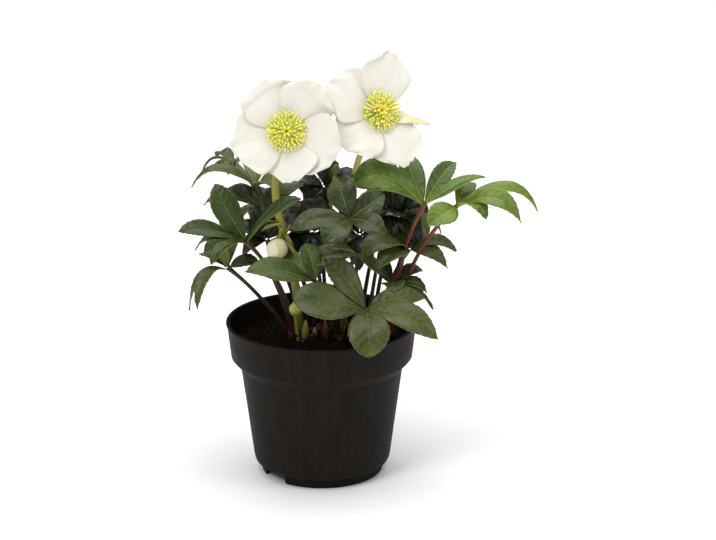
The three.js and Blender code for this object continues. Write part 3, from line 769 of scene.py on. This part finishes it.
# ---------------------------------------------------------------- flower stems
# Smooth, fleshy, yellow-green stems, thicker than the leaf stalks, that bend forward under the flowers'
# backs. The right flower's is paler. Each flower is given here with its sepals, from its own centre.
flower_stem_finish = stem_finish(
    "flower_stem", tone(120, 112, 60), tone(146, 148, 56), tone(160, 160, 62), tone(108, 114, 40)
)
pale_stem_finish = stem_finish(
    "pale_flower_stem", tone(120, 116, 56), tone(186, 184, 108), tone(218, 216, 158), tone(164, 164, 92)
)


def facing_frame(centre, turn, rise):
    """The matrix from a flower's own frame, which faces +Z, to its place, in mm."""
    turn, rise = math.radians(turn), math.radians(rise)
    ahead = Vector((math.sin(turn), -math.cos(turn), math.tan(rise))).normalized()
    right = Vector((math.cos(turn), math.sin(turn), 0))
    up = ahead.cross(right)
    return Matrix.Translation(centre) @ Matrix((right, up, ahead)).transposed().to_4x4()


# lean tilts the stamens to the right, in degrees. Each row of petals holds direction, length,
# width, foot_slope, tip_slope, point, roll, fold and seed, as petal() takes them.
FLOWERS = {
    "flower_left": dict(
        centre=(-21, -22, 224), turn=6, rise=14,
        stem=[(-12, -1, 84), (-14, -4, 99), (-16, -8, 119), (-18, -11, 138), (-22, -12, 153), (-26, -11, 168),
              (-28, -8, 188)],
        radius=2.3, lean=3,
        petals=[(51, 32.5, 35, 24, -8, -0.35, 0, 2.6, 1), (117, 31, 36, 22, -6, -0.35, 0, 1.8, 2),
                (199, 33, 39, 26, 6, 0.2, 0, 0, 3), (273, 29.5, 34, 24, 8, 0.3, 0, 0, 4),
                (334, 33, 40, 26, 8, 0.15, 0, 0, 5)],
    ),
    "flower_right": dict(
        centre=(35, 2, 230), turn=20, rise=22,
        stem=[(12, 3, 84), (11, 7, 104), (12, 11, 130), (16, 13, 160), (21, 15, 188), (26, 15, 205)],
        radius=2.0, lean=9,
        petals=[(75, 36, 34, 24, 4, 0.7, 0, 0, 6), (150, 36, 37, 22, 2, 0.15, 0, 0, 7),
                (217, 34, 37, 24, 8, 0.25, 0, 0, 8), (287, 36, 35, 24, 4, 0.6, 0, 0, 9),
                (341, 30, 15, 22, -4, 0.1, -62, 0, 10)],
    ),
}

for name, flower in FLOWERS.items():
    placing = facing_frame(flower["centre"], flower["turn"], flower["rise"])
    behind = placing @ Vector((0, -3, -11))
    back = placing @ Vector((0, 0, -4.6))
    points = [*map(Vector, flower["stem"]), behind, back]
    last = len(points) - 1
    swell = [flower["radius"] * (1.15 - 0.15 * math.sin(math.pi * i / last)) for i in range(len(points))]
    stem = tube(points, swell, 4)
    carry_height(stem)
    stem.data.materials.append(pale_stem_finish if name == "flower_right" else flower_stem_finish)
    finished(stem, f"{name}_stem", [f"{name}_stem"])

# ---------------------------------------------------------------- petals
# Five broad white sepals, soft and a little translucent, that overlap at their sides. Each is cupped at its
# foot, with a wavy margin and faint veins that fan out from the foot, and creamy green where it is attached.
# One sepal of the right flower is narrow and turned almost edge-on, behind its neighbour; it is greenish
# beige, partly its own colour and partly painted shade.
def petal_look(name, fresh, dull, margin):
    """A sepal's finish: two close colours, and a third for its margin."""
    finish = Finish(name, Roughness=0.55, Subsurface_Weight=0.25, Subsurface_Scale=0.004, IOR=1.4)
    finish.surface.inputs["Subsurface Radius"].default_value = (1.0, 0.9, 0.75)
    across, along, edge = finish.along("run")
    fan = (across / (along + 6.0)) * 15.0
    veins = (1 - fan.off_line() * 5.0).clamp()
    tint = finish.noise(finish.place(), 45.0, 2.0)
    foot_glow = (1 - along / 9.0).clamp()
    colour = finish.mix(((tint - 0.42) * 2.4).clamp(), fresh, dull)
    colour = finish.mix(veins * 0.045, colour, tone(214, 208, 184))
    colour = finish.mix(((edge - 0.84) * 5.0).clamp() * 0.45, colour, margin)
    colour = finish.mix(foot_glow * 0.7, colour, tone(222, 226, 150))
    finish.plug(finish.surface.inputs["Base Color"], colour)
    finish.bump(finish.noise(finish.place(), 160.0, 3.0) - veins * 0.12, 0.3, 0.0009)
    return finish.material


white_petal = petal_look(
    "white_petal", fresh=tone(238, 235, 224), dull=tone(231, 225, 209), margin=tone(222, 210, 182)
)
# The darker greenish finish of a sepal turned edge-on: partly its own colour, partly painted shade.
greenish_shaded_petal = petal_look(
    "greenish_shaded_petal", fresh=tone(222, 216, 176), dull=tone(206, 200, 146), margin=tone(176, 166, 104)
)
PETAL_THICKNESS = 0.5
PETAL_FOOT = Vector((2.9, 0.8))
PROFILE_STEPS = 40
EDGE_ON = 45

bpy.ops.mesh.primitive_grid_add(x_subdivisions=26, y_subdivisions=44, size=2)
petal_blank = bpy.context.object
petal_blank.select_set(False)


def petal(placing, direction, length, width, foot_slope, tip_slope, point, roll, fold, seed):
    """One sepal. point is how far its end narrows, roll turns it on its own line, and fold raises its end."""
    sheet = copied(petal_blank, "petal")
    steps = PROFILE_STEPS
    line = [PETAL_FOOT.copy()]
    for i in range(steps):
        share = (i + 0.5) / steps
        slope = math.radians(foot_slope + (tip_slope - foot_slope) * share)
        line.append(line[-1] + Vector((math.cos(slope), math.sin(slope))) * length / steps)
    turn = placing @ Matrix.Rotation(math.radians(direction), 4, "Z")
    numbers = []
    for vertex in sheet.data.vertices:
        a, share = vertex.co.x, (vertex.co.y + 1) / 2
        t = share * (1 - (0.19 - 0.13 * point) * abs(a) ** 2.2 * share**2)
        rise = 0.2 + 0.8 * math.sin(min(1.0, share / 0.6) * math.pi / 2) ** 0.9
        narrow = 1 - (0.34 + 0.58 * point) * max(0.0, (share - 0.55) / 0.45) ** (2.2 - 0.7 * point)
        half = width / 2 * rise * narrow * (1 + 0.03 * math.sin(share * 11 + seed * 2) * abs(a))
        t += 0.02 * math.sin(a * 5 + seed) * share**3 + 0.012 * math.sin(a * 11 + seed * 2) * share**4
        place = min(max(t, 0.0) * steps, steps - 0.001)
        low = line[int(place)]
        spot = low + (line[int(place) + 1] - low) * (place - int(place))
        offset = a * half
        wave = math.sin(share * 6.2 + seed * 2.1 + a * 2.2) * 1.5 * a * a * share
        wave += math.sin(share * 14 + seed * 3.3 + a) * 0.7 * abs(a) ** 3 * share
        wave += noise.noise(Vector((a * 3.1, share * 3.7, seed * 5))) * 1.5 * share**2
        midline = 0.5 * math.exp(-((a / 0.12) ** 2)) * (1 - share)
        crease = math.sin(a * 7 + seed + share * 3) * 0.3 * share - midline
        step = fold * min(1.0, max(0.0, t - 0.74 - 0.05 * math.sin(a * 3 + seed)) * 14)
        lift = 0.004 * offset**2 + 0.13 * offset + wave + crease + step
        lean = math.radians(roll) * min(1.0, share * 1.8)
        across = Vector((0, offset * math.cos(lean), offset * math.sin(lean)))
        spot = turn @ (Vector((spot.x, 0, spot.y + lift)) + across)
        vertex.co = AXIS + spot * MM
        numbers.append((offset, t * length, max(abs(a), share)))
    carry(sheet, numbers)
    # A sepal turned edge-on takes the darker greenish finish, which is partly painted shade.
    sheet.data.materials.append(white_petal if abs(roll) < EDGE_ON else greenish_shaded_petal)
    apply_modifier(sheet, "SOLIDIFY", thickness=PETAL_THICKNESS * MM, offset=0)
    sheet.select_set(True)
    bpy.ops.object.shade_smooth()
    return sheet


for name, flower in FLOWERS.items():
    placing = facing_frame(flower["centre"], flower["turn"], flower["rise"])
    for number, shape in enumerate(flower["petals"], 1):
        sepal = petal(placing, *shape)
        finished(sepal, f"{name}_petal_{number}", [f"{name}_petal_{number}"])
bpy.data.objects.remove(petal_blank)

# ---------------------------------------------------------------- flower centres
# Behind each flower the stem swells into a stub. On it stand a ring of lime-green nectar cups, some 120
# stamens with pale yellow anthers in five rings, and in the middle the deeper yellow carpels.
NECTAR_CUPS = 11
CARPELS = 6
# Of each ring of stamens: how far out and how high its anthers are, and how many there are.
STAMEN_RINGS = ((12.0, 6.6, 32), (11.1, 7.8, 30), (9.6, 9.0, 26), (7.4, 9.8, 20), (5.0, 10.6, 12))


def plain_finish(name, shade, light, scale, rough):
    """A soft plant surface of two close colours."""
    finish = Finish(name, Roughness=rough, Subsurface_Weight=0.3, Subsurface_Scale=0.003)
    cloud = finish.noise(finish.place(), scale, 3.0)
    finish.plug(finish.surface.inputs["Base Color"], finish.mix(cloud, shade, light))
    finish.bump(cloud, 0.3, 0.0004)
    return finish.material


nectary_finish = plain_finish("green_nectary", tone(196, 208, 16), tone(226, 230, 60), 500.0, 0.4)
filament_finish = plain_finish("filament", tone(248, 240, 104), tone(252, 248, 150), 400.0, 0.5)
anther_finish = plain_finish("anther", tone(250, 238, 116), tone(253, 248, 170), 900.0, 0.7)
carpel_finish = plain_finish("carpel", tone(246, 230, 84), tone(250, 242, 130), 500.0, 0.45)


def into_place(piece, placing):
    """Carries a piece modelled in a flower's own frame, in mm round the pot's axis, to its flower."""
    there = Matrix.Translation(AXIS) @ Matrix.Scale(MM, 4) @ placing @ Matrix.Scale(1 / MM, 4)
    piece.data.transform(there @ Matrix.Translation(-AXIS))
    return piece


def stub():
    """The swollen end of the flower's stem, which all its parts stand on."""
    behind = [(2.3, -5), (3.6, -4.2), (4.5, -2.4), (4.7, -0.6)]
    profile = behind + [(3.4, 0.2), (2.3, 0.6), (2.3, 5.2), (1.6, 5.6)]
    piece = turned(profile, 28)
    piece.data.materials.append(flower_stem_finish)
    carry_height(piece)
    return piece


def nectar_cup():
    """A little green horn that widens outwards."""
    cup = tube([(1.5, 0, 3.0), (5.0, 0, 3.6), (8.4, 0, 4.6), (10.4, 0, 5.6)], (0.5, 0.75, 1.15, 1.3), 2)
    cup.data.materials.append(nectary_finish)
    return cup


ANTHER_SIZE = (0.8 * MM, 0.45 * MM, 0.6 * MM, 1)


def stamen(reach, rise):
    """A thread that bows outwards, with its anther reach out and rise up."""
    knee = (reach * 0.45 + 1.6, 0, 5.2)
    shoulder = (reach * 0.8 + 0.6, 0, rise * 0.8 + 0.9)
    thread = tube([(2.8, 0, 4.6), knee, shoulder, (reach, 0, rise)], (0.34, 0.32, 0.28, 0.24), 1)
    thread.data.materials.append(filament_finish)
    bpy.ops.mesh.primitive_ico_sphere_add(subdivisions=2, radius=1)
    anther = bpy.context.object
    anther.data.transform(Matrix.Translation(at(reach, 0, rise + 0.3)) @ Matrix.Diagonal(ANTHER_SIZE))
    anther.data.materials.append(anther_finish)
    anther.select_set(True)
    bpy.ops.object.shade_smooth()
    return joined([thread, anther])


def carpel():
    """One of the flask-shaped seed vessels, with its bent style."""
    line = [(1.0, 0, 5.4), (1.5, 0, 7.2), (1.9, 0, 9.4), (2.6, 0, 11.6), (3.3, 0, 12.8)]
    body = tube(line, (0.9, 1.15, 0.95, 0.5, 0.4), 3)
    body.data.materials.append(carpel_finish)
    return body


def whorl(kind, count, offset=0.0, jitter=0.0):
    """Copies of one shape round the flower's axis."""
    ring = []
    for i in range(count):
        copy = copied(kind, "part")
        lean = Matrix.Rotation(chance.uniform(-jitter, jitter), 4, "Y")
        spin = Matrix.Rotation(math.tau * (i + offset) / count + chance.uniform(-jitter, jitter), 4, "Z")
        copy.data.transform(Matrix.Translation(AXIS) @ spin @ lean @ Matrix.Translation(-AXIS))
        ring.append(copy)
    bpy.data.objects.remove(kind)
    return ring


for name, flower in FLOWERS.items():
    placing = facing_frame(flower["centre"], flower["turn"], flower["rise"])
    base = joined([stub(), *whorl(nectar_cup(), NECTAR_CUPS)])
    finished(into_place(base, placing), f"{name}_receptacle", [f"{name}_receptacle"])
    rings = []
    for reach, rise, count in STAMEN_RINGS:
        rings += whorl(stamen(reach, rise), count, offset=reach, jitter=0.08)
    leaning = placing @ Matrix.Rotation(math.radians(flower["lean"]), 4, "Y")
    finished(into_place(joined(rings), leaning), f"{name}_stamens", [f"{name}_stamens"])
    heart = joined(whorl(carpel(), CARPELS))
    finished(into_place(heart, placing), f"{name}_carpels", [f"{name}_carpels"])

# ---------------------------------------------------------------- buds
# Flower buds at three ages: a large one that nods on a short stalk, its sepals still wrapped round each
# other, a small one that stands close to the soil, and a tiny green one on a long thin stalk.
bud_finish = Finish("bud_sepal", Roughness=0.5, Subsurface_Weight=0.2, Subsurface_Scale=0.003)
across, along, share = bud_finish.along("run")
bud_tint = bud_finish.noise(bud_finish.place(), 120.0, 3.0)
bud_colour = bud_finish.mix(((across - 0.5) * 1.5).clamp(), tone(233, 223, 192), tone(204, 202, 112))
bud_colour = bud_finish.mix(((0.3 - share) * 3.0).clamp(), bud_colour, tone(170, 176, 74))
bud_colour = bud_finish.mix(((bud_tint - 0.5) * 2.5).clamp() * 0.5, bud_colour, tone(216, 200, 150))
bud_finish.plug(bud_finish.surface.inputs["Base Color"], bud_colour)
bud_finish.bump(bud_tint, 0.3, 0.0006)
green_bud_finish = plain_finish("green_bud", tone(150, 156, 50), tone(206, 208, 110), 260.0, 0.45)
dark_bud_finish = plain_finish("dark_green_bud", tone(62, 84, 24), tone(104, 126, 44), 260.0, 0.45)

BUDS = {
    "bud_large": dict(
        centre=(-27, -22, 149), radius=6.4, length=15, points=(-0.3, -0.5, -0.6), finish=bud_finish.material,
        stalk=[(-24, -15.2, 160), (-24.5, -17, 160), (-25, -18.5, 158), (-25.8, -20, 155)], thick=1.2,
    ),
    "bud_small": dict(
        centre=(-16, -20, 110), radius=3.9, length=10, points=(0.1, -0.3, 1), finish=green_bud_finish,
        stalk=[(-14, -14, 84), (-15, -16, 94), (-15.8, -18.2, 104.4), (-16, -19, 107)], thick=1.3,
    ),
    "bud_tiny": dict(
        centre=(9, 8, 192), radius=2.7, length=8, points=(0.2, 0, 1), finish=dark_bud_finish,
        stalk=[(16, 8, 84), (12, 14, 120), (6, 13, 160), (8.7, 8.5, 190)], thick=1.0,
    ),
}


def wrapped_bud(bud):
    """A pointed egg. The margins of three of its sepals run up it as shallow steps."""
    bpy.ops.mesh.primitive_uv_sphere_add(segments=72, ring_count=32, radius=1)
    piece = bpy.context.object
    lean = Vector((0, 0, 1)).rotation_difference(Vector(bud["points"]).normalized()).to_matrix().to_4x4()
    numbers = []
    for vertex in piece.data.vertices:
        x, y, z = vertex.co
        share = (z + 1) / 2
        angle = math.atan2(y, x) / math.tau * 3 + share * 0.7 + 0.35
        step = (angle - math.floor(angle)) * 0.13 * math.sin(math.pi * share)
        taper = 0.96 + step - 0.3 * max(0.0, share - 0.45)
        spot = Vector((x * bud["radius"] * taper, y * bud["radius"] * taper, z * bud["length"] / 2))
        vertex.co = AXIS + (Vector(bud["centre"]) + lean @ spot) * MM
        numbers.append((angle - math.floor(angle), share * bud["length"], share))
    carry(piece, numbers)
    piece.data.materials.append(bud["finish"])
    piece.select_set(True)
    bpy.ops.object.shade_smooth()
    piece.select_set(False)
    return piece


for name, bud in BUDS.items():
    stalk = tube(bud["stalk"], [bud["thick"]] * (len(bud["stalk"]) - 1) + [bud["thick"] * 1.3])
    carry_height(stalk)
    stalk.data.materials.append(flower_stem_finish)
    nodes = [name] if name == "bud_tiny" else [name, f"{name}_stalk"]
    finished(joined([wrapped_bud(bud), stalk]), name, nodes)

# ---------------------------------------------------------------- bracts and sheaths
# Small pointed bracts where the bud's stalk leaves the flower stem, pale green and cream, and the dry sheaths
# that clasp the stems' feet on the crown, some reddish brown and some pale.
sheath_brown = stem_finish(
    "brown_sheath", tone(36, 15, 11), tone(58, 29, 19), tone(84, 54, 31), tone(40, 18, 13)
)
sheath_pale = stem_finish(
    "pale_sheath", tone(84, 66, 30), tone(134, 128, 56), tone(180, 176, 96), tone(110, 100, 44)
)

bpy.ops.mesh.primitive_grid_add(x_subdivisions=8, y_subdivisions=16, size=2)
bract_blank = bpy.context.object
bract_blank.select_set(False)


def bract(foot, tip, width, hollow, finish):
    """A pointed, hollow scale from foot to tip."""
    scale = copied(bract_blank, "bract")
    foot, tip = Vector(foot), Vector(tip)
    run = tip - foot
    outward = Vector((run.x, run.y - 1, 0)).normalized()
    side = run.cross(outward).normalized()
    out = side.cross(run).normalized()
    for vertex in scale.data.vertices:
        a, t = vertex.co.x, (vertex.co.y + 1) / 2
        half = width / 2 * (0.45 + 0.75 * t) * (1 - t**2.2) + 0.12
        bulge = math.sin(math.pi * t) * run.length * 0.1 + hollow * (1 - a * a) * (1 - t)
        vertex.co = AXIS + (foot + run * t + side * a * half + out * bulge) * MM
    carry_height(scale)
    scale.data.materials.append(finish)
    apply_modifier(scale, "SOLIDIFY", thickness=0.5 * MM, offset=0)
    scale.select_set(True)
    bpy.ops.object.shade_smooth()
    scale.select_set(False)
    return scale


STEM_BRACTS = [
    ((-25.5, -13, 163), (-37, -20, 160), 4.5), ((-26, -12.5, 165), (-36, -17, 168), 4.0),
    ((-24, -14, 158), (-17, -21, 150), 4.0), ((-22.5, -14, 152), (-14, -20, 141), 4.4),
    ((-24, -13, 156), (-19, -18, 164), 3.6),
]
stem_bracts = joined([bract(foot, tip, width, 0.8, sheath_pale) for foot, tip, width in STEM_BRACTS])
finished(stem_bracts, "stem_bracts")

SHEATH_FEET = [
    (-17, -9), (-11, -12), (-6, -9), (-2, -14), (4, -15), (10, -13), (15, -14), (21, -13), (27, -10),
    (33, -6), (38, -1), (-20, 1), (0, -6), (24, -4), (16, -6),
]
PALE_SHEATHS = (1, 2)
brown_sheaths, pale_sheaths = [], []
for number, (x, y) in enumerate(SHEATH_FEET):
    lean = Vector((chance.uniform(-5, 5), chance.uniform(-6, 1), chance.uniform(9, 20)))
    foot = Vector((x, y - 1.5, CROWN_TOP))
    pale = number in PALE_SHEATHS
    scale = bract(foot, foot + lean, chance.uniform(5, 7.5), 1.4, sheath_pale if pale else sheath_brown)
    (pale_sheaths if pale else brown_sheaths).append(scale)
finished(joined(brown_sheaths), "brown_sheaths")
finished(joined(pale_sheaths), "pale_sheaths")
bpy.data.objects.remove(bract_blank)
